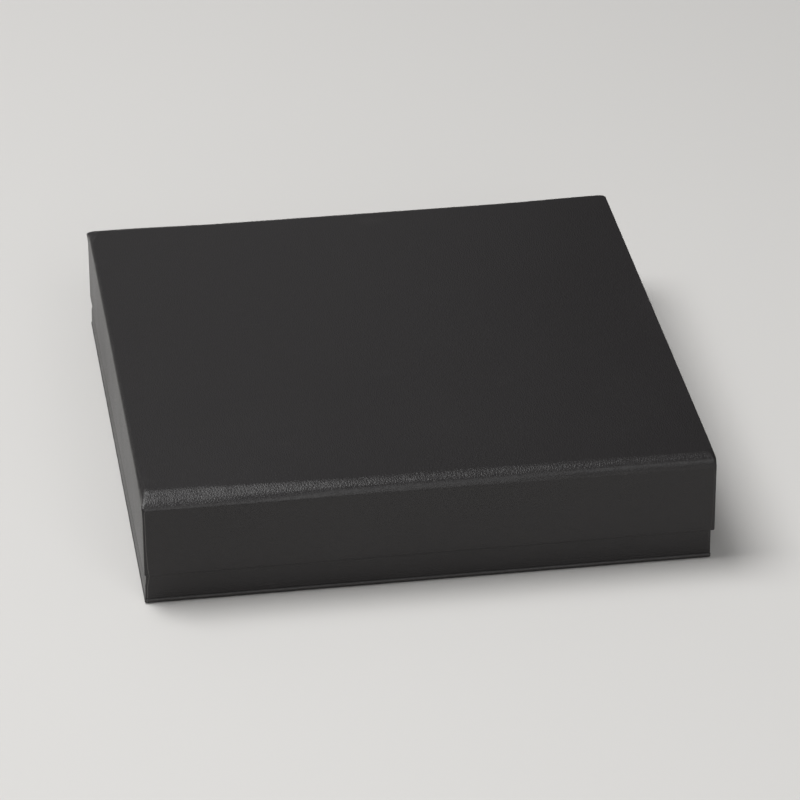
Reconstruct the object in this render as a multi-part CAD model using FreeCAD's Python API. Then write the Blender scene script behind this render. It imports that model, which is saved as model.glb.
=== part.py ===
import FreeCAD, Part
import math
import os

# A rigid gift box: a padded lid, covered in leatherette paper, that lifts off a covered base.
# Sizes are in millimetres. The origin is the middle of the underside: +X runs along the
# width, +Y from the front to the back and +Z up. The front is the side that faces -Y.

# Overall sizes
lid_width = 250.0  # outside of the covered lid, along X
lid_depth = 260.0  # outside of the covered lid, along Y
lid_height = 37.2  # from the lid's rim to the top of its pad
base_height = 45.2  # from the surface that the box stands on to the base's rim

# Boards, sheets and padding, by thickness
wall_board = 0.8
panel_board = 1.2  # the lid's top and the base's bottom
wrap = 0.2  # leatherette paper
liner = 0.2  # inside paper, and the sheet that closes the underside
stay_tape = 0.08  # gummed paper over the corner joints
pad = 5.0  # foam on the lid

# Edges, folds and fits
corner_radius = 1.0  # covered upright edges, and the edge round the base's underside
pad_run = 6.0  # how far in from the side the pad reaches its full height
pad_corner_growth = 0.7  # how fast the pad's corners round off on the way up
pad_rings = 9  # outlines that the pad's rounded side runs through
lid_turn_in = 14.0  # wrap folded over the rim, up the inside of the lid
base_turn_in = 18.0  # wrap folded over the rim, down the inside of the base
base_turn_under = 15.0  # wrap folded under the bottom board
sheet_margin = 3.0  # from the base's side to the edge of the underside sheet
stay_leg = 12.0  # tape on each side of a corner
slip = 0.2  # between the lid's lining and the base, on each side

CORNERS = {
    "front_left": (-1, -1),
    "front_right": (1, -1),
    "back_left": (-1, 1),
    "back_right": (1, 1),
}


def block(half_x, half_y, z0, z1):
    """A sharp-edged block centred on the Z axis."""
    corner = FreeCAD.Vector(-half_x, -half_y, z0)
    return Part.makeBox(2 * half_x, 2 * half_y, z1 - z0, corner)


def outline(half_x, half_y, radius, z):
    """A rounded rectangle at height z: four quarter arcs joined by four lines."""
    edges = []
    last_end = None
    first_start = None
    for quarter, (sign_x, sign_y) in enumerate([(1, 1), (-1, 1), (-1, -1), (1, -1)]):
        centre = FreeCAD.Vector(sign_x * (half_x - radius), sign_y * (half_y - radius), z)
        points = []
        for step in (0, 1, 2):
            angle = math.radians(90 * quarter + 45 * step)
            points.append(centre + FreeCAD.Vector(math.cos(angle), math.sin(angle), 0) * radius)
        if last_end is None:
            first_start = points[0]
        else:
            edges.append(Part.LineSegment(last_end, points[0]).toShape())
        edges.append(Part.Arc(*points).toShape())
        last_end = points[2]
    edges.append(Part.LineSegment(last_end, first_start).toShape())
    return Part.Wire(edges)


def pillar(half_x, half_y, z0, z1, radius):
    """A block with rounded upright edges."""
    return Part.Face(outline(half_x, half_y, radius, z0)).extrude(FreeCAD.Vector(0, 0, z1 - z0))


def tub(half_x, half_y, z0, z1, radius):
    """A block with rounded upright edges and a rounded edge round its underside."""
    solid = block(half_x, half_y, z0, z1)
    middle = (z0 + z1) / 2
    rounded = [edge for edge in solid.Edges if min(v.Z for v in edge.Vertexes) < middle]
    return solid.makeFillet(radius, rounded)


def soft_top(half_x, half_y, z0, radius):
    """The pad's form: flat on top, with sides that round over by a quarter ellipse."""
    rings = []
    for ring in range(pad_rings):
        angle = math.radians(90) * ring / (pad_rings - 1)
        inset = pad_run * (1 - math.cos(angle))
        ring_radius = radius + pad_corner_growth * inset
        rings.append(outline(half_x - inset, half_y - inset, ring_radius, z0 + pad * math.sin(angle)))
    return Part.makeLoft(rings, True, True)


def shifted(solid, x, y):
    """A copy of solid moved level by x and y."""
    return solid.translated(FreeCAD.Vector(x, y, 0))


def walls(core, half_x, half_y, z0, z1):
    """Four wall boards cut from core: long front and back ones, with the sides between them."""
    inner_x = half_x - wall_board
    inner_y = half_y - wall_board
    slab = block(half_x, half_y, z0, z1)
    ring = core.common(slab).cut(block(inner_x, inner_y, z0, z1))
    between = block(half_x, inner_y, z0, z1)
    ends = ring.cut(between)
    sides = ring.common(between)
    return {
        "front": ends.common(shifted(slab, 0, -half_y)),
        "back": ends.common(shifted(slab, 0, half_y)),
        "left": sides.common(shifted(slab, -half_x, 0)),
        "right": sides.common(shifted(slab, half_x, 0)),
    }


def stays(half_x, half_y, z0, z1, radius):
    """Tape folded round the outside of each corner of the wall boards."""
    outer = pillar(half_x + stay_tape, half_y + stay_tape, z0, z1, radius + stay_tape)
    band = outer.cut(pillar(half_x, half_y, z0, z1, radius))
    reach = stay_leg + stay_tape
    found = {}
    for corner, (sign_x, sign_y) in CORNERS.items():
        corner_x = sign_x * (half_x + stay_tape)
        corner_y = sign_y * (half_y + stay_tape)
        found[corner] = band.common(shifted(block(reach, reach, z0, z1), corner_x, corner_y))
    return found


def lining(half_x, half_y, z0, z1, thickness):
    """A sheet that stands against the inside of four walls."""
    return block(half_x, half_y, z0, z1).cut(block(half_x - thickness, half_y - thickness, z0, z1))


parts = {}

# Lid heights: the ceiling liner rests on the base's rim
ceiling_z = base_height + liner
pad_z = ceiling_z + panel_board
closed_height = pad_z + pad + wrap
lid_rim_z = closed_height - lid_height
lid_wall_z = lid_rim_z + wrap

# Lid plan: half sizes of the wrap, the boards and the room inside the walls
lid_x = lid_width / 2
lid_y = lid_depth / 2
lid_core_x = lid_x - wrap
lid_core_y = lid_y - wrap
lid_room_x = lid_core_x - wall_board
lid_room_y = lid_core_y - wall_board
core_radius = corner_radius - wrap

# Lid boards and pad
lid_core = pillar(lid_core_x, lid_core_y, lid_wall_z, pad_z, core_radius)
for side, board in walls(lid_core, lid_core_x, lid_core_y, lid_wall_z, ceiling_z).items():
    parts["lid_" + side + "_wall"] = board
parts["lid_top_board"] = pillar(lid_core_x, lid_core_y, ceiling_z, pad_z, core_radius)
parts["lid_pad"] = soft_top(lid_core_x, lid_core_y, pad_z, core_radius)
lid_stays = stays(lid_core_x, lid_core_y, lid_wall_z, ceiling_z, core_radius)
for corner, tape in lid_stays.items():
    parts["lid_corner_stay_" + corner] = tape

# Lid wrap: over the pad, down the walls, under the rim and up the inside
lid_outside = pillar(lid_x, lid_y, lid_rim_z, pad_z + wrap, corner_radius)
lid_outside = lid_outside.fuse(soft_top(lid_x, lid_y, pad_z + wrap, corner_radius))
lid_skin = lid_outside.cut([lid_core, parts["lid_pad"]] + list(lid_stays.values()))
lid_skin = lid_skin.cut(block(lid_room_x - wrap, lid_room_y - wrap, lid_rim_z, lid_wall_z))
lid_fold = lining(lid_room_x, lid_room_y, lid_rim_z, lid_rim_z + lid_turn_in, wrap)
parts["lid_wrap"] = lid_skin.fuse(lid_fold).removeSplitter()

# Lid lining
parts["lid_ceiling_liner"] = block(lid_room_x, lid_room_y, base_height, ceiling_z)
parts["lid_wall_liner"] = lining(lid_room_x, lid_room_y, lid_rim_z + lid_turn_in, base_height, liner)

# Base plan: the base slides inside the lid's turn-in and wall liner
lid_lining = max(wrap, liner)
base_x = lid_room_x - lid_lining - slip
base_y = lid_room_y - lid_lining - slip
base_core_x = base_x - wrap
base_core_y = base_y - wrap
base_room_x = base_core_x - wall_board
base_room_y = base_core_y - wall_board

# Base heights: underside sheet, turned-under wrap, bottom board, floor liner, rim
under_z = liner
board_z = under_z + wrap
floor_z = board_z + panel_board
base_wall_top = base_height - wrap
fold_z = base_height - base_turn_in

# Base boards
base_core = tub(base_core_x, base_core_y, board_z, base_wall_top, core_radius)
parts["base_bottom_board"] = base_core.common(block(base_x, base_y, board_z, floor_z))
for side, board in walls(base_core, base_core_x, base_core_y, floor_z, base_wall_top).items():
    parts["base_" + side + "_wall"] = board
base_stays = stays(base_core_x, base_core_y, floor_z, base_wall_top, core_radius)
for corner, tape in base_stays.items():
    parts["base_corner_stay_" + corner] = tape

# Base wrap: under the bottom board, up the walls, over the rim and down the inside
base_outside = tub(base_x, base_y, under_z, base_height, corner_radius)
base_skin = base_outside.cut([base_core] + list(base_stays.values()))
base_skin = base_skin.cut(block(base_room_x - wrap, base_room_y - wrap, base_wall_top, base_height))
well_x = base_x - base_turn_under
well_y = base_y - base_turn_under
well = block(well_x, well_y, under_z, board_z)
base_fold = lining(base_room_x, base_room_y, fold_z, base_height, wrap)
parts["base_wrap"] = base_skin.cut(well).fuse(base_fold).removeSplitter()

# Underside sheet, pressed into the well between the turned-under edges
sheet = block(base_x - sheet_margin, base_y - sheet_margin, 0, under_z)
parts["base_bottom_sheet"] = sheet.fuse(well).removeSplitter()

# Base lining
parts["base_floor_liner"] = block(base_room_x, base_room_y, floor_z, floor_z + liner)
parts["base_wall_liner"] = lining(base_room_x, base_room_y, floor_z + liner, fold_z, liner)

os.makedirs("parts", exist_ok=True)
for name, shape in parts.items():
    shape.exportStep(os.path.join("parts", name + ".step"))
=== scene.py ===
import math

import bpy
from mathutils import Matrix, Vector


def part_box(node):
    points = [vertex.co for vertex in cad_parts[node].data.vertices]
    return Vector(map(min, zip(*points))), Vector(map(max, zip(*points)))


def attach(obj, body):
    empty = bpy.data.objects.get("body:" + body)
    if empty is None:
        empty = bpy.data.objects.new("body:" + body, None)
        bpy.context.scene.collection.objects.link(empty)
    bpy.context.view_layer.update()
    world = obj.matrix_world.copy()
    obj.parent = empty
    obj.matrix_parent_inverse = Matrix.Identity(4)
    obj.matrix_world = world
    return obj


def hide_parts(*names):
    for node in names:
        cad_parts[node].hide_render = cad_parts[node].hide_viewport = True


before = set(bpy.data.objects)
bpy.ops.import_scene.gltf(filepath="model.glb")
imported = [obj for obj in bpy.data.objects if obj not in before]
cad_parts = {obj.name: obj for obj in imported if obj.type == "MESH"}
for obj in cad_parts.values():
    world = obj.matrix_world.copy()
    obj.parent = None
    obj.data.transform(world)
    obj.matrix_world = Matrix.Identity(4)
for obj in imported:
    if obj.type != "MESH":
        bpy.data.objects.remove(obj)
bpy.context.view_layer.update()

# Boards of the base and the lid
# Grey chipboard, pressed from waste paper and cut to size, with the walls butted at the corners.
# The covers hide the boards once the box is made, so they keep their solids and get the speckle
# and the flecks of such board.
MM = 0.001
BOARD_DARK = (0.155, 0.145, 0.130, 1.0)
BOARD_LIGHT = (0.290, 0.275, 0.250, 1.0)
FLECKS_PER_METRE = 900.0
BOARD_RELIEF = 0.1 * MM


def start_material(name):
    """A material with its shader and a socket of object coordinates to build on."""
    material = bpy.data.materials.new(name)
    material.use_nodes = True
    tree = material.node_tree
    place = tree.nodes.new("ShaderNodeTexCoord").outputs["Object"]
    return material, tree, tree.nodes["Principled BSDF"], place


def add(tree, kind, inputs=None, **settings):
    """A node with its settings, and with its inputs given as values or as other nodes' sockets."""
    node = tree.nodes.new(kind)
    for name, value in settings.items():
        setattr(node, name, value)
    for name, value in (inputs or {}).items():
        if isinstance(value, bpy.types.NodeSocket):
            tree.links.new(value, node.inputs[name])
        else:
            node.inputs[name].default_value = value
    return node


def mapped(tree, value, low, high, to_low, to_high, ease="LINEAR"):
    """The value carried from one range to another, and held at the ends."""
    ends = {"Value": value, "From Min": low, "From Max": high, "To Min": to_low, "To Max": to_high}
    return add(tree, "ShaderNodeMapRange", ends, interpolation_type=ease).outputs["Result"]


def times(tree, first, second):
    """The product of two values."""
    return add(tree, "ShaderNodeMath", {0: first, 1: second}, operation="MULTIPLY").outputs["Value"]


def mixed(tree, share, first, second):
    """The first colour where share is 0 and the second where it is 1."""
    node = add(tree, "ShaderNodeMix", {"Factor": share}, data_type="RGBA")
    for socket, colour in zip((node.inputs[6], node.inputs[7]), (first, second)):
        if isinstance(colour, bpy.types.NodeSocket):
            tree.links.new(colour, socket)
        else:
            socket.default_value = colour
    return node.outputs[2]


def embossed(tree, shader, height, strength, depth):
    """Raises the height on the shader's surface."""
    bump = add(tree, "ShaderNodeBump", {"Height": height, "Strength": strength, "Distance": depth})
    tree.links.new(bump.outputs["Normal"], shader.inputs["Normal"])


def chipboard():
    material, tree, shader, place = start_material("chipboard")
    flecks = add(tree, "ShaderNodeTexNoise",
                 {"Vector": place, "Scale": FLECKS_PER_METRE, "Detail": 6.0, "Roughness": 0.7})
    speckle = mapped(tree, flecks.outputs["Fac"], 0.35, 0.68, 0.0, 1.0)
    tree.links.new(mixed(tree, speckle, BOARD_DARK, BOARD_LIGHT), shader.inputs["Base Color"])
    tree.links.new(mapped(tree, speckle, 0.0, 1.0, 0.95, 0.8), shader.inputs["Roughness"])
    embossed(tree, shader, flecks.outputs["Fac"], 0.4, BOARD_RELIEF)
    return material


def finish_nodes(material, *names):
    """Gives the solids of these nodes a material."""
    for name in names:
        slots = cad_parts[name].data.materials
        slots.clear()
        slots.append(material)


wall_names = [f"{part}_{side}_wall" for part in ("base", "lid")
              for side in ("front", "back", "left", "right")]
finish_nodes(chipboard(), "base_bottom_board", "lid_top_board", *wall_names)

# Corner stays
# Gummed kraft tape, folded round each upright corner of the boards and wetted down, which holds
# the butted walls square before the cover goes on.
TAPE_DARK = (0.235, 0.145, 0.075, 1.0)
TAPE_LIGHT = (0.400, 0.270, 0.155, 1.0)
FIBRES_PER_METRE = 500.0
FIBRE_STRETCH = 0.12
TAPE_RELIEF = 0.05 * MM


def kraft_tape():
    material, tree, shader, place = start_material("kraft_tape")
    drawn = add(tree, "ShaderNodeMapping", {"Vector": place, "Scale": (1.0, 1.0, FIBRE_STRETCH)})
    fibres = add(tree, "ShaderNodeTexNoise",
                 {"Vector": drawn.outputs["Vector"], "Scale": FIBRES_PER_METRE, "Detail": 5.0})
    tone = mapped(tree, fibres.outputs["Fac"], 0.3, 0.7, 0.0, 1.0)
    tree.links.new(mixed(tree, tone, TAPE_DARK, TAPE_LIGHT), shader.inputs["Base Color"])
    tree.links.new(mapped(tree, tone, 0.0, 1.0, 0.75, 0.55), shader.inputs["Roughness"])
    embossed(tree, shader, fibres.outputs["Fac"], 0.3, TAPE_RELIEF)
    return material


stay_names = [f"{part}_corner_stay_{end}_{side}" for part in ("base", "lid")
              for end in ("front", "back") for side in ("left", "right")]
finish_nodes(kraft_tape(), *stay_names)

# Cover of the base
# Black leatherette paper, embossed with a fine leather grain. It is glued up the outside of the
# walls, folded over the rim to the inside and turned under the bottom board. At each corner the
# front or back flap laps over the side and ends in a cut edge just short of the corner.
SIDE_STEPS = 168
CORNER_STEPS = 8
CROWDING = 0.75
STATIONS = 4 * (SIDE_STEPS + CORNER_STEPS)
OUTWARD = (Vector((0, -1, 0)), Vector((1, 0, 0)), Vector((0, 1, 0)), Vector((-1, 0, 0)))
LEFT = 3
CUT_STEP = 6
CUT_WIDTH = 0.15 * MM
# The front-left cut edge is painted much paler than the rest: its pale core with a painted highlight on
# it.
CUT_CORE_AND_HIGHLIGHT = 0.75
CUT_FAINT = 0.15
FLAP_THICKNESS = 0.12 * MM
SHARP_FOLD = math.radians(50)


def eased(stops, place):
    """A value that passes smoothly through stops, which are pairs of a place and a value."""
    if place <= stops[0][0]:
        return stops[0][1]
    for (start, first), (end, second) in zip(stops, stops[1:]):
        if place <= end:
            share = (place - start) / (end - start)
            return first + (second - first) * share * share * (3 - 2 * share)
    return stops[-1][1]


def spread(length, flap):
    """Places along a side, from -1 to 1, that lie closer together towards its ends.

    Where a flap stops short of the corners by the distance given, the places nearest to each
    corner lie beside its cut edge, and three of them on it."""
    distances = [0.0]
    if flap:
        distances = [(flap - CUT_WIDTH) * step / (CUT_STEP - 1) for step in range(CUT_STEP)]
        distances += [flap, flap + CUT_WIDTH]
    first = distances[-1]
    steps = SIDE_STEPS // 2 + 1 - len(distances)
    for step in range(1, steps + 1):
        share = step / steps
        share = (1 - CROWDING) * share + CROWDING * (1 - math.cos(math.pi / 2 * share))
        distances.append(first + (length / 2 - first) * share)
    starts = [2 * distance / length - 1 for distance in distances]
    return starts + [-place for place in reversed(starts[:-1])]


def flap_lift(side, step):
    """How far a side's flap stands out at a step along it: not at all past its cut edges."""
    steps_in = min(step, SIDE_STEPS - step) - CUT_STEP + 1
    return FLAP_THICKNESS * min(1.0, max(0.0, steps_in / 2)) if side % 2 == 0 else 0.0


def ring(half, section, radius, flap, seam):
    """Points round the box, counter-clockwise from the left end of the front.

    The sides are numbered front, right, back, left. half holds half the width and half the
    depth. section gives the inset and the height for a side and a place along it."""
    points = []
    for side in range(4):
        out = OUTWARD[side]
        along = OUTWARD[(side + 1) % 4]
        reach, depth = half if side % 2 == 0 else reversed(half)
        start = section((side + 3) % 4, 1.0)[0] + radius - reach
        end = reach - radius - section((side + 1) % 4, -1.0)[0]
        for step, place in enumerate(spread(end - start, flap if side % 2 == 0 else None)):
            inset, z = section(side, place)
            inset -= seam * flap_lift(side, step)
            way = start + (end - start) * (place + 1) / 2
            points.append(along * way + out * (depth - inset) + Vector((0, 0, z)))
        inset, z = section(side, 1.0)
        next_z = section((side + 1) % 4, -1.0)[1]
        centre = along * end + out * (depth - inset - radius)
        for step in range(1, CORNER_STEPS):
            share = step / CORNER_STEPS
            angle = share * math.pi / 2
            point = centre + (out * math.cos(angle) + along * math.sin(angle)) * radius
            points.append(point + Vector((0, 0, z + (next_z - z) * share)))
    return points


def level(inset, z):
    """A section that is the same all round."""
    return lambda side, place: (inset, z)


class Skin:
    """A closed mesh of rings, which run from the top down on its outside and back up inside.

    Its points carry marks for the finish: crease; wear_and_highlight, which is real wear and, along the
    base's bottom fold, partly a painted highlight; and cut_edge_and_highlight, the paper's pale core at
    the flaps' cut edges, made strong at the front-left one as a painted highlight."""

    def __init__(self, half):
        self.half = half
        self.points = []
        self.faces = []
        self.marks = {"crease": [], "wear_and_highlight": [], "cut_edge_and_highlight": []}
        self.last = 0

    def add_ring(self, section, radius, flap=None, seam=0.0, crease=0.0, wear_and_highlight=0.0):
        """Adds a ring with its marks and joins it to the ring before.

        The flaps' cut edges show the paper's pale core faintly; at the left end of the front the mark is
        strong, a painted highlight on that lit cut edge."""
        self.points += ring(self.half, section, radius, flap, seam)
        self.marks["crease"] += [crease] * STATIONS
        self.marks["wear_and_highlight"] += [wear_and_highlight] * STATIONS
        cuts_and_highlight = [0.0] * STATIONS
        across = SIDE_STEPS + CORNER_STEPS
        for side in (0, 2):
            cuts_and_highlight[side * across + CUT_STEP] = seam * CUT_FAINT
            cuts_and_highlight[side * across + SIDE_STEPS - CUT_STEP] = seam * CUT_FAINT
        cuts_and_highlight[CUT_STEP] = seam * CUT_CORE_AND_HIGHLIGHT
        self.marks["cut_edge_and_highlight"] += cuts_and_highlight
        self.last = len(self.points) - STATIONS
        if self.last:
            self.join(self.last - STATIONS, self.last)

    def join(self, upper, lower):
        """Adds the faces between two rings, given by their first points."""
        for step in range(STATIONS):
            after = (step + 1) % STATIONS
            self.faces.append((upper + step, lower + step, lower + after, upper + after))

    def close_loop(self):
        """Joins the last ring to the first."""
        self.join(self.last, 0)

    def close_ends(self):
        """Closes the first ring with a grid spanned between its sides, and the last with a face."""
        self.faces.append(tuple(reversed(range(self.last, self.last + STATIONS))))
        across = SIDE_STEPS + CORNER_STEPS
        corner = STATIONS - CORNER_STEPS // 2
        edge = [(corner + step) % STATIONS for step in range(STATIONS + 1)]
        front = edge[:across + 1]
        right = edge[across:2 * across + 1]
        back = edge[3 * across:2 * across - 1:-1]
        left = edge[:3 * across - 1:-1]
        at = self.points
        grid = [front]
        for row in range(1, across):
            to_back = row / across
            line = [left[row]]
            for column in range(1, across):
                to_right = column / across
                sides = at[front[column]] * (1 - to_back) + at[back[column]] * to_back
                sides += at[left[row]] * (1 - to_right) + at[right[row]] * to_right
                corners = (at[front[0]] * (1 - to_right) + at[front[-1]] * to_right) * (1 - to_back)
                corners += (at[back[0]] * (1 - to_right) + at[back[-1]] * to_right) * to_back
                line.append(len(at))
                at.append(sides - corners)
            grid.append(line + [right[row]])
        grid.append(back)
        for lower, upper in zip(grid, grid[1:]):
            for column in range(across):
                self.faces.append((lower[column], lower[column + 1], upper[column + 1], upper[column]))

    def mesh(self, name):
        """The mesh, with its marks as attributes and smooth apart from its sharp folds."""
        mesh = bpy.data.meshes.new(name)
        mesh.from_pydata(self.points, [], self.faces)
        for mark, values in self.marks.items():
            values = values + [0.0] * (len(self.points) - len(values))
            mesh.attributes.new(mark, "FLOAT", "POINT").data.foreach_set("value", values)
        mesh.shade_smooth()
        mesh.set_sharp_from_angle(angle=SHARP_FOLD)
        return mesh


LEATHER_BLACK = (0.0088, 0.0073, 0.0078, 1.0)
# Colour of rubbed leatherette, also used for the scuffs; along the base's bottom fold it serves as a
# painted highlight too.
LEATHER_WORN_AND_HIGHLIGHT = (0.120, 0.114, 0.110, 1.0)
# Pale paper core of the cut edges; at the front-left cut edge it also stands in as a painted highlight.
PAPER_CORE_AND_HIGHLIGHT = (0.160, 0.155, 0.150, 1.0)
GRAIN_PER_METRE = 950.0
PORES_PER_METRE = 3600.0
SCUFFS_PER_METRE = 38.0
SHEEN_CLOUDS_PER_METRE = 14.0
SCUFF_SHARE = 0.12
LEATHER_ROUGHNESS = (0.33, 0.42)
PORE_RELIEF = 0.35
GRAIN_STRENGTH = 0.8
GRAIN_RELIEF = 0.06 * MM


def leatherette():
    material, tree, shader, place = start_material("leatherette")
    grain = add(tree, "ShaderNodeTexVoronoi", {"Vector": place, "Scale": GRAIN_PER_METRE},
                feature="DISTANCE_TO_EDGE")
    pebbles = mapped(tree, grain.outputs["Distance"], 0.0, 0.3, 0.0, 1.0, "SMOOTHSTEP")
    pores = add(tree, "ShaderNodeTexNoise",
                {"Vector": place, "Scale": PORES_PER_METRE, "Detail": 2.0}).outputs["Fac"]
    clouds = add(tree, "ShaderNodeTexNoise",
                 {"Vector": place, "Scale": SHEEN_CLOUDS_PER_METRE, "Detail": 4.0}).outputs["Fac"]
    patches = add(tree, "ShaderNodeTexNoise",
                  {"Vector": place, "Scale": SCUFFS_PER_METRE, "Detail": 5.0}).outputs["Fac"]
    # wear_and_highlight: rubbing along the lid's edge, and along the base's bottom fold a pale line that
    # is partly a painted highlight.
    wear_and_highlight = add(tree, "ShaderNodeAttribute", attribute_name="wear_and_highlight").outputs["Fac"]
    # cut_edge_and_highlight: the pale core at the cut edges, strong at the front-left as a painted
    # highlight.
    cut_and_highlight = add(tree, "ShaderNodeAttribute", attribute_name="cut_edge_and_highlight").outputs["Fac"]
    rubbed_and_highlight = times(tree, wear_and_highlight, mapped(tree, pores, 0.35, 0.65, 0.2, 1.0))
    scuffed = times(tree, pebbles, mapped(tree, patches, 0.66, 0.76, 0.0, SCUFF_SHARE))
    colour = mixed(tree, scuffed, LEATHER_BLACK, LEATHER_WORN_AND_HIGHLIGHT)
    colour = mixed(tree, rubbed_and_highlight, colour, LEATHER_WORN_AND_HIGHLIGHT)
    tree.links.new(mixed(tree, cut_and_highlight, colour, PAPER_CORE_AND_HIGHLIGHT), shader.inputs["Base Color"])
    tree.links.new(mapped(tree, clouds, 0.3, 0.7, *LEATHER_ROUGHNESS), shader.inputs["Roughness"])
    relief = add(tree, "ShaderNodeMath", {0: pores, 1: PORE_RELIEF, 2: pebbles}, operation="MULTIPLY_ADD")
    embossed(tree, shader, relief.outputs["Value"], GRAIN_STRENGTH, GRAIN_RELIEF)
    return material


def crease_tree():
    """Small puckers where the paper is drawn round an edge: it moves the points marked for them."""
    tree = bpy.data.node_groups.new("drawn_creases", "GeometryNodeTree")
    sockets = tree.interface
    sockets.new_socket("Geometry", in_out="OUTPUT", socket_type="NodeSocketGeometry")
    sockets.new_socket("Geometry", in_out="INPUT", socket_type="NodeSocketGeometry")
    for name in ("Depth", "Pitch", "Length", "Seed"):
        sockets.new_socket(name, in_out="INPUT", socket_type="NodeSocketFloat")
    sockets.new_socket("Finish", in_out="INPUT", socket_type="NodeSocketMaterial")
    given = tree.nodes.new("NodeGroupInput").outputs
    place = tree.nodes.new("GeometryNodeInputPosition").outputs["Position"]
    normal = tree.nodes.new("GeometryNodeInputNormal").outputs["Normal"]
    marked = add(tree, "GeometryNodeInputNamedAttribute", {"Name": "crease"}, data_type="FLOAT")
    sizes = add(tree, "ShaderNodeCombineXYZ",
                {"X": given["Pitch"], "Y": given["Pitch"], "Z": given["Length"]})
    where = add(tree, "ShaderNodeVectorMath", {0: place, 1: sizes.outputs["Vector"]},
                operation="DIVIDE")
    folds = add(tree, "ShaderNodeTexNoise",
                {"Vector": where.outputs["Vector"], "W": given["Seed"], "Scale": 1.0, "Detail": 2.0},
                noise_dimensions="4D")
    swing = mapped(tree, folds.outputs["Fac"], 0.2, 0.8, -1.0, 1.0)
    lift = times(tree, times(tree, swing, marked.outputs["Attribute"]), given["Depth"])
    offset = add(tree, "ShaderNodeVectorMath", {0: normal, "Scale": lift}, operation="SCALE")
    moved = add(tree, "GeometryNodeSetPosition",
                {"Geometry": given["Geometry"], "Offset": offset.outputs["Vector"]})
    real = add(tree, "GeometryNodeRealizeInstances", {"Geometry": moved.outputs["Geometry"]})
    dressed = add(tree, "GeometryNodeSetMaterial",
                  {"Geometry": real.outputs["Geometry"], "Material": given["Finish"]})
    done = tree.nodes.new("NodeGroupOutput")
    tree.links.new(dressed.outputs["Geometry"], done.inputs["Geometry"])
    return tree


def creased(skin, name, finish, **sizes):
    """An object of the skin with its creases drawn in, as a plain mesh with no modifier."""
    piece = bpy.data.objects.new(name, skin.mesh(name))
    bpy.context.scene.collection.objects.link(piece)
    modifier = piece.modifiers.new("creases", "NODES")
    modifier.node_group = drawn_creases
    values = {"Finish": finish, **sizes}
    for item in drawn_creases.interface.items_tree:
        if item.in_out == "INPUT" and item.name in values:
            modifier[item.identifier] = values[item.name]
    evaluated = piece.evaluated_get(bpy.context.evaluated_depsgraph_get())
    mesh = bpy.data.meshes.new_from_object(evaluated)
    piece.modifiers.remove(modifier)
    piece.data = mesh
    return piece


def arc(inset, z, radius, start, end, steps=6):
    """Pairs of inset and height on an arc round the pair given, by angle: 0 is out and 90 is up."""
    pairs = []
    for step in range(steps + 1):
        angle = math.radians(start + (end - start) * step / steps)
        pairs.append((inset - radius * math.cos(angle), z + radius * math.sin(angle)))
    return pairs


base_low, base_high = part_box("base_wrap")
COVER = base_high.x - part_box("base_bottom_board")[1].x
BASE_WALL = base_high.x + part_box("base_left_wall")[1].x + COVER
BASE_FOLD_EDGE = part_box("base_wall_liner")[1].z
FOLD_LINE = 0.7 * MM
BASE_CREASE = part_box("base_left_wall")[0].z + FOLD_LINE
TURN_UNDER = 15.0 * MM
BOTTOM_ROUND = 0.8 * MM
UPRIGHT_ROUND = 0.6 * MM
INSIDE_ROUND = 0.4 * MM
HEM_ROUND = 0.5 * MM
BASE_FLAP = 0.4 * MM
BASE_SPLAY = ((0.0, 1.3 * MM), (9.0 * MM, 1.1 * MM), (14.0 * MM, 0.1 * MM), (16.0 * MM, 0.0))
FOLD_LIP = 0.2 * MM
FOLD_DIP = ((-0.45 * MM, -FOLD_LIP), (0.0, 0.1 * MM), (0.45 * MM, 0.0))
FOLD_RINGS = (0.4, 0.28, 0.18, 0.09, 0.0, -0.09, -0.18, -0.28, -0.4)
FOLD_CLEARANCE = 0.6 * MM
BASE_WALL_RINGS = 14
FLUSH = 0.05 * MM
# The pale line along the base's bottom fold is partly rubbed paper and partly a painted highlight of the
# lip.
LIP_WEAR_AND_HIGHLIGHT = ((0.9 * MM, 0.0), (1.2 * MM, 0.6), (1.8 * MM, 0.6), (2.1 * MM, 0.0))
FOOT_CREASE = ((0.2 * MM, 1.0), (4.0 * MM, 0.0))


def base_section(inset, z):
    """A section of the base's cover, which stands out a little at the left, below the lid."""
    splay = eased(BASE_SPLAY, z)
    return lambda side, place: (inset - splay if side == LEFT else inset, z)


under, rim = base_low.z, base_high.z
board = under + COVER
outside = arc(HEM_ROUND, rim - HEM_ROUND, HEM_ROUND, 90, 0)
wall_foot = BASE_CREASE + FOLD_CLEARANCE
wall_rise = rim - HEM_ROUND - wall_foot
for number in range(1, BASE_WALL_RINGS + 1):
    outside.append((0.0, wall_foot + wall_rise * (1 - number / BASE_WALL_RINGS)))
for above in FOLD_RINGS:
    outside.append((eased(FOLD_DIP, above * MM), BASE_CREASE + above * MM))
outside += arc(BOTTOM_ROUND - FOLD_LIP, under + BOTTOM_ROUND, BOTTOM_ROUND, 0, -90)
outside += [(TURN_UNDER * share, under) for share in (0.25, 0.5, 0.75, 1.0)]
fold = BASE_WALL - COVER
inside = [(TURN_UNDER, board), (BOTTOM_ROUND, board), (COVER, board + BOTTOM_ROUND)]
inside += [(COVER, rim - COVER), (fold, rim - COVER), (fold, BASE_FOLD_EDGE)]
inside += [(BASE_WALL, BASE_FOLD_EDGE), (BASE_WALL, (BASE_FOLD_EDGE + rim) / 2)]
inside += arc(BASE_WALL - HEM_ROUND, rim - HEM_ROUND, HEM_ROUND, 180, 90)

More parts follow.
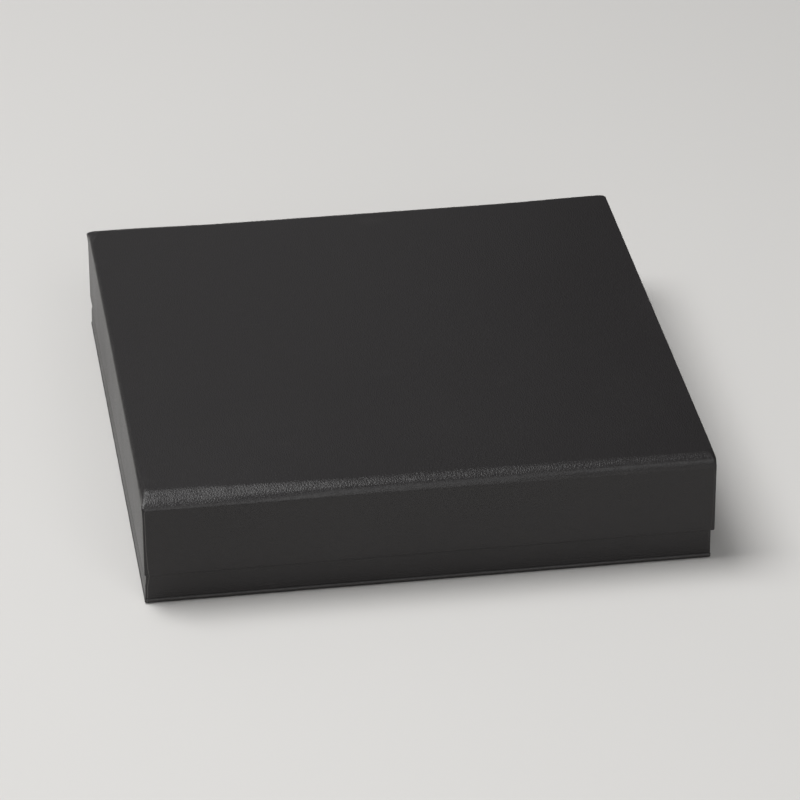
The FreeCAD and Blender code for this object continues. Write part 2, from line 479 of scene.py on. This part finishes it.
base_skin = Skin((base_high.x, base_high.y))
for inset, z in outside:
    base_skin.add_ring(base_section(inset, z), UPRIGHT_ROUND, BASE_FLAP,
                       seam=1.0 if inset < FLUSH else 0.0,
                       crease=eased(FOOT_CREASE, z), wear_and_highlight=eased(LIP_WEAR_AND_HIGHLIGHT, z))
for inset, z in inside:
    base_skin.add_ring(base_section(inset, z), INSIDE_ROUND)
base_skin.close_loop()
drawn_creases = crease_tree()
black_leatherette = leatherette()
base_cover = creased(base_skin, "base_cover", black_leatherette,
                     Depth=0.1 * MM, Pitch=7.0 * MM, Length=6.0 * MM, Seed=3.0)
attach(base_cover, "base")
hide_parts("base_wrap")

# Lining of the base and the sheet under it
# Black paper with a soft surface. One sheet covers the floor, a strip runs round the walls below
# the folded-in cover, and another sheet closes the underside between the turned-under edges.
LINING_DARK = (0.018, 0.018, 0.019, 1.0)
LINING_LIGHT = (0.042, 0.041, 0.041, 1.0)
PULP_PER_METRE = 1400.0
MOTTLE_PER_METRE = 25.0
PULP_RELIEF = 0.05 * MM


def lining_paper():
    material, tree, shader, place = start_material("lining_paper")
    pulp = add(tree, "ShaderNodeTexNoise",
               {"Vector": place, "Scale": PULP_PER_METRE, "Detail": 5.0, "Roughness": 0.65})
    mottle = add(tree, "ShaderNodeTexNoise", {"Vector": place, "Scale": MOTTLE_PER_METRE, "Detail": 3.0})
    share = mapped(tree, times(tree, pulp.outputs["Fac"], mottle.outputs["Fac"]), 0.12, 0.38, 0.0, 1.0)
    tree.links.new(mixed(tree, share, LINING_DARK, LINING_LIGHT), shader.inputs["Base Color"])
    tree.links.new(mapped(tree, share, 0.0, 1.0, 0.9, 0.7), shader.inputs["Roughness"])
    embossed(tree, shader, pulp.outputs["Fac"], 0.3, PULP_RELIEF)
    return material


black_lining = lining_paper()
finish_nodes(black_lining, "base_bottom_sheet", "base_floor_liner", "base_wall_liner")

# Pad on the lid
# A sheet of soft foam, glued to the top board. The cover draws it down to a bevel at its edges,
# which is wide at the front, widest at the left and softer towards the right, and narrow at the
# sides. The stops along each side, by place, give where it starts, how low it ends and how soft it is.
lid_low, lid_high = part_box("lid_wrap")
BEVEL_RUN = (
    ((-1.0, 9.0), (-0.83, 8.9), (-0.72, 7.9), (-0.5, 7.3), (-0.25, 6.6),
     (0.1, 6.6), (0.5, 5.8), (1.0, 5.2)),
    ((-1.0, 1.0), (-0.9, 0.6), (1.0, 0.6)),
    ((-1.0, 4.0), (-0.5, 6.0), (0.5, 6.0), (0.9, 5.0), (1.0, 4.5)),
    ((-1.0, 3.6), (-0.92, 1.4), (0.88, 1.4), (1.0, 2.2)),
)
BEVEL_DROP = (
    ((-1.0, 4.2), (-0.85, 4.4), (0.1, 4.5), (0.5, 5.1), (1.0, 5.3)),
    ((-1.0, 3.0), (-0.9, 2.2), (0.9, 2.2), (1.0, 3.4)),
    ((-1.0, 4.0), (-0.5, 3.7), (0.5, 3.6), (0.9, 2.4), (1.0, 2.6)),
    ((-1.0, 2.6), (-0.9, 1.5), (0.8, 1.5), (1.0, 3.6)),
)
CORNER_EAR = (
    ((-1.0, 0.2), (-0.95, 0.0)),
    ((-1.0, 0.0), (1.0, 0.0)),
    ((0.95, 0.0), (1.0, 0.5)),
    ((-1.0, 0.5), (-0.95, 0.0), (0.95, 0.0), (1.0, 0.2)),
)
EAR_SHAPE = ((0.5, 0.0), (0.8, 1.0), (1.0, 0.6))
BEVEL_SOFTNESS = (
    ((-0.7, 0.0), (-0.2, 0.7), (0.2, 0.7), (0.6, 1.0), (1.0, 1.0)),
    ((-1.0, 1.0), (-0.9, 0.0)),
    ((-1.0, 0.0), (1.0, 0.0)),
    ((-1.0, 0.0), (1.0, 0.0)),
)
FIRM_BEND = (0.34, 0.49)  # shares of the run and the drop
SOFT_BEND = (0.14, 0.43)
FIRM_MIDDLE = 0.5  # share of the bend's drop
SOFT_MIDDLE = 0.3
BEVEL_FOOT = 1.6
OVERRUN = 1.25
TOP_CORNER_GROWTH = 2.5 * MM
PAD_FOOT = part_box("lid_pad")[0].z
PAD_GAP = 0.25 * MM
PAD_FOOT_RISE = 0.3 * MM
PAD_RINGS = 12
PAD_SHARE = 0.74
FOAM_SHADE = (0.520, 0.515, 0.500, 1.0)
FOAM_PALE = (0.760, 0.755, 0.735, 1.0)
FOAM_CELLS_PER_METRE = 1600.0
FOAM_RELIEF = 0.2 * MM


def edge_point(side, place, share):
    """Inset and drop of the padded edge: on the flat top at share 0 and on the wall at share 1.

    It is a smooth curve along guides, given in millimetres: from the flat top by the middle of the
    bevel and its bend to the wall."""
    run = eased(BEVEL_RUN[side], place)
    drop = eased(BEVEL_DROP[side], place)
    softness = eased(BEVEL_SOFTNESS[side], place)
    across, down = [firm + (soft - firm) * softness for firm, soft in zip(FIRM_BEND, SOFT_BEND)]
    bend = (across * run, down * drop)
    middle_down = FIRM_MIDDLE + (SOFT_MIDDLE - FIRM_MIDDLE) * softness
    middle = ((run + bend[0]) / 2, middle_down * bend[1])
    guides = [(OVERRUN * run, 0.0), (run, 0.0), middle, bend, (0.0, drop)]
    guides += [(0.0, drop + BEVEL_FOOT), (0.0, drop + OVERRUN * BEVEL_FOOT)]
    spans = len(guides) - 2
    span = min(int(share * spans), spans - 1)
    within = share * spans - span
    weights = (0.5 * (1 - within) ** 2, 0.5 + within * (1 - within), 0.5 * within * within)
    nearest = guides[span:span + 3]
    inset = sum(weight * guide[0] for weight, guide in zip(weights, nearest))
    fall = sum(weight * guide[1] for weight, guide in zip(weights, nearest))
    ear = eased(CORNER_EAR[side], place) * eased(EAR_SHAPE, share)
    return (inset - ear) * MM, fall * MM


def edge_radius(share):
    """How round the padded edge is in plan at its corners."""
    return UPRIGHT_ROUND + TOP_CORNER_GROWTH * (1 - share)


def foam_section(share):
    """A section of the pad, which lies just inside the cover and ends on the top board."""
    height = lid_high.z - PAD_GAP - PAD_FOOT

    def section(side, place):
        inset, drop = edge_point(side, place, share)
        most = edge_point(side, place, PAD_SHARE)[1]
        drop *= min(1.0, (height - PAD_FOOT_RISE) / most)
        return max(0.0, inset) + PAD_GAP, lid_high.z - PAD_GAP - drop
    return section


def pad_foam():
    material, tree, shader, place = start_material("pad_foam")
    cells = add(tree, "ShaderNodeTexVoronoi", {"Vector": place, "Scale": FOAM_CELLS_PER_METRE})
    tone = mapped(tree, cells.outputs["Distance"], 0.1, 0.7, 0.0, 1.0)
    tree.links.new(mixed(tree, tone, FOAM_PALE, FOAM_SHADE), shader.inputs["Base Color"])
    tree.links.new(mapped(tree, tone, 0.0, 1.0, 0.85, 1.0), shader.inputs["Roughness"])
    embossed(tree, shader, cells.outputs["Distance"], 0.6, FOAM_RELIEF)
    return material


pad_skin = Skin((lid_high.x, lid_high.y))
for number in range(PAD_RINGS + 1):
    share = PAD_SHARE * number / PAD_RINGS
    pad_skin.add_ring(foam_section(share), edge_radius(share))
pad_skin.add_ring(level(PAD_GAP, PAD_FOOT), UPRIGHT_ROUND)
pad_skin.close_ends()
lid_pad = bpy.data.objects.new("lid_pad_foam", pad_skin.mesh("lid_pad_foam"))
lid_pad.data.materials.append(pad_foam())
bpy.context.scene.collection.objects.link(lid_pad)
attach(lid_pad, "lid")
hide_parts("lid_pad")

# Cover of the lid
# The same leatherette, drawn over the pad and down the walls, with its edge folded in at the rim.
# The pull leaves small ears at the left corners and fine puckers.
LID_WALL = lid_high.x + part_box("lid_left_wall")[1].x + COVER
LID_FOLD_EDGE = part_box("lid_wall_liner")[0].z
EDGE_RINGS = 30
WALL_RINGS = 10
FLAP_ABOVE_RIM = (
    (0.0, 1.4 * MM),
    (5.4 * MM, 0.8 * MM),
    (15.4 * MM, 0.45 * MM),
    (31.0 * MM, 0.35 * MM),
)
EDGE_SEAM = ((0.6, 0.0), (0.85, 1.0))
EDGE_WEAR = ((0.6, 0.0), (0.7, 0.1), (0.8, 0.0))


def edge_section(share, thickness=0.0):
    """A section of the cover on the padded edge, set in by part of the paper's thickness."""

    def section(side, place):
        inset, drop = edge_point(side, place, share)
        return inset + thickness, lid_high.z - drop - thickness
    return section


def wall_section(share):
    """A section of the lid's wall, from the foot of the padded edge down to the hem."""
    foot = lid_low.z + HEM_ROUND

    def section(side, place):
        head = lid_high.z - edge_point(side, place, 1.0)[1]
        return 0.0, head + (foot - head) * share
    return section


def lid_flap(z):
    """How far from the corner the front and back flaps of the lid end at a height."""
    return eased(FLAP_ABOVE_RIM, z - lid_low.z)


lid_skin = Skin((lid_high.x, lid_high.y))
for number in range(EDGE_RINGS + 1):
    share = number / EDGE_RINGS
    lid_skin.add_ring(edge_section(share), edge_radius(share), lid_flap(lid_high.z),
                      seam=eased(EDGE_SEAM, share), crease=math.sin(math.pi * share),
                      wear_and_highlight=eased(EDGE_WEAR, share))
for number in range(1, WALL_RINGS + 1):
    share = number / WALL_RINGS
    z = wall_section(share)(0, 0.0)[1]
    lid_skin.add_ring(wall_section(share), UPRIGHT_ROUND, lid_flap(z), seam=1.0)
for inset, z in arc(HEM_ROUND, lid_low.z + HEM_ROUND, HEM_ROUND, 0, -90)[1:]:
    lid_skin.add_ring(level(inset, z), UPRIGHT_ROUND, lid_flap(z), seam=1.0)
fold = LID_WALL - COVER
inside = arc(LID_WALL - HEM_ROUND, lid_low.z + HEM_ROUND, HEM_ROUND, -90, -180)
inside += [(LID_WALL, (lid_low.z + LID_FOLD_EDGE) / 2), (LID_WALL, LID_FOLD_EDGE)]
inside += [(fold, LID_FOLD_EDGE), (fold, lid_low.z + COVER)]
for inset, z in inside:
    lid_skin.add_ring(level(inset, z), INSIDE_ROUND)
lid_skin.add_ring(level(COVER, lid_low.z + COVER), UPRIGHT_ROUND - COVER)
lid_skin.add_ring(level(COVER, PAD_FOOT), UPRIGHT_ROUND - COVER)
for number in range(PAD_RINGS, -1, -1):
    share = PAD_SHARE * number / PAD_RINGS
    lid_skin.add_ring(edge_section(share, COVER), edge_radius(share))
lid_skin.close_ends()
lid_cover = creased(lid_skin, "lid_cover", black_leatherette,
                    Depth=0.08 * MM, Pitch=4.0 * MM, Length=12.0 * MM, Seed=8.0)
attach(lid_cover, "lid")
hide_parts("lid_wrap")

# Lining of the lid
# The same black paper: a sheet on the inside of the top board, which rests on the base's rim,
# and a strip round the walls above the folded-in cover.
finish_nodes(black_lining, "lid_ceiling_liner", "lid_wall_liner")

# Floor
# A plain, matt, pale table top, with painted shade that darkens it towards the back, where the light
# falls off. It fills the view and lies a hair below the underside of the box, so that the two surfaces
# don't fight.
FLOOR_HALF = 4.0
FLOOR_BELOW = 0.05 * MM
# Near and far colours of one floor: the step between them is painted shade, not a change in the table
# top.
FLOOR_LIT_NEAR = (0.722, 0.711, 0.694, 1.0)
FLOOR_SHADED_FAR = (0.612, 0.602, 0.587, 1.0)
FLOOR_SHADE_SPAN = (-0.40, 0.60)
FLOOR_CLOUDS_PER_METRE = 3.0
FLOOR_DRIFT = 0.1


def pale_floor():
    material, tree, shader, place = start_material("pale_floor")
    back = add(tree, "ShaderNodeSeparateXYZ", {"Vector": place}).outputs["Y"]
    clouds = add(tree, "ShaderNodeTexNoise",
                 {"Vector": place, "Scale": FLOOR_CLOUDS_PER_METRE, "Detail": 3.0})
    shifted = add(tree, "ShaderNodeMath", {0: clouds.outputs["Fac"], 1: FLOOR_DRIFT, 2: back},
                  operation="MULTIPLY_ADD").outputs["Value"]
    painted_falloff = mapped(tree, shifted, *FLOOR_SHADE_SPAN, 0.0, 1.0)
    tree.links.new(mixed(tree, painted_falloff, FLOOR_LIT_NEAR, FLOOR_SHADED_FAR), shader.inputs["Base Color"])
    shader.inputs["Roughness"].default_value = 0.9
    shader.inputs["Specular IOR Level"].default_value = 0.1
    return material


floor_mesh = bpy.data.meshes.new("floor")
corners = [(-FLOOR_HALF, -FLOOR_HALF), (FLOOR_HALF, -FLOOR_HALF),
           (FLOOR_HALF, FLOOR_HALF), (-FLOOR_HALF, FLOOR_HALF)]
floor_mesh.from_pydata([(x, y, -FLOOR_BELOW) for x, y in corners], [], [(0, 1, 2, 3)])
floor_mesh.materials.append(pale_floor())
floor = bpy.data.objects.new("floor", floor_mesh)
bpy.context.scene.collection.objects.link(floor)

# Light
# A large soft box overhead to the left, a white card behind the camera, a dim one behind the box on
# the left, and room light that is stronger from above than from the sides.
ROOM_SIDES = 0.09
ROOM_TOP = 0.23
ROOM_RISE = (0.45, 1.0)


def panel(name, place, aim, width, height, radiance):
    """A soft light of the size given that faces the point aim."""
    light = bpy.data.lights.new(name, "AREA")
    light.shape = "RECTANGLE"
    light.size = width
    light.size_y = height
    light.energy = radiance * math.pi * width * height
    lamp = bpy.data.objects.new(name, light)
    bpy.context.scene.collection.objects.link(lamp)
    facing = (Vector(aim) - Vector(place)).to_track_quat("-Z", "Y")
    lamp.matrix_world = Matrix.Translation(place) @ facing.to_matrix().to_4x4()
    lamp.visible_camera = False


panel("soft_box", place=(-0.87, 0.32, 2.2), aim=(0.0, 0.0, 0.0),
      width=1.4, height=1.4, radiance=8.05)
panel("front_card", place=(0.35, -2.5, 1.6), aim=(0.0, 0.0, 0.0),
      width=2.0, height=2.6, radiance=1.65)
panel("back_card", place=(-0.26, 0.70, 0.42), aim=(-0.1, 0.0, 0.05),
      width=1.0, height=0.64, radiance=0.18)
room = bpy.data.worlds.new("room")
room.use_nodes = True
sky = room.node_tree
way = add(sky, "ShaderNodeTexCoord").outputs["Generated"]
upward = add(sky, "ShaderNodeSeparateXYZ", {"Vector": way}).outputs["Z"]
glow = mapped(sky, upward, *ROOM_RISE, ROOM_SIDES, ROOM_TOP)
sky.links.new(glow, sky.nodes["Background"].inputs["Color"])
bpy.context.scene.world = room
bpy.context.scene.view_settings.view_transform = "Standard"

# Camera
# A long lens, a little to the left of the front and looking down. Its place, turn and focal length
# were fitted to the edges of the box in the photograph.
AZIMUTH = math.radians(-8.45)
ELEVATION = math.radians(29.20)
ROLL = math.radians(-0.25)
DISTANCE = 2.0997
AIM = Vector((0.01044, 0.03250, 0.0))
FOCAL_PIXELS = 4505.0
IMAGE_PIXELS = 800.0

toward = Vector((math.sin(AZIMUTH) * math.cos(ELEVATION),
                 -math.cos(AZIMUTH) * math.cos(ELEVATION), math.sin(ELEVATION)))
right = Vector((math.cos(AZIMUTH), math.sin(AZIMUTH), 0.0))
up = toward.cross(right)
level_right = right * math.cos(ROLL) + up * math.sin(ROLL)
level_up = up * math.cos(ROLL) - right * math.sin(ROLL)
camera = bpy.data.cameras.new("camera")
camera.sensor_width = 36.0
camera.lens = FOCAL_PIXELS / IMAGE_PIXELS * camera.sensor_width
eye = bpy.data.objects.new("camera", camera)
bpy.context.scene.collection.objects.link(eye)
turn = Matrix((level_right, level_up, toward)).transposed().to_4x4()
eye.matrix_world = Matrix.Translation(AIM + toward * DISTANCE) @ turn
bpy.context.scene.camera = eye
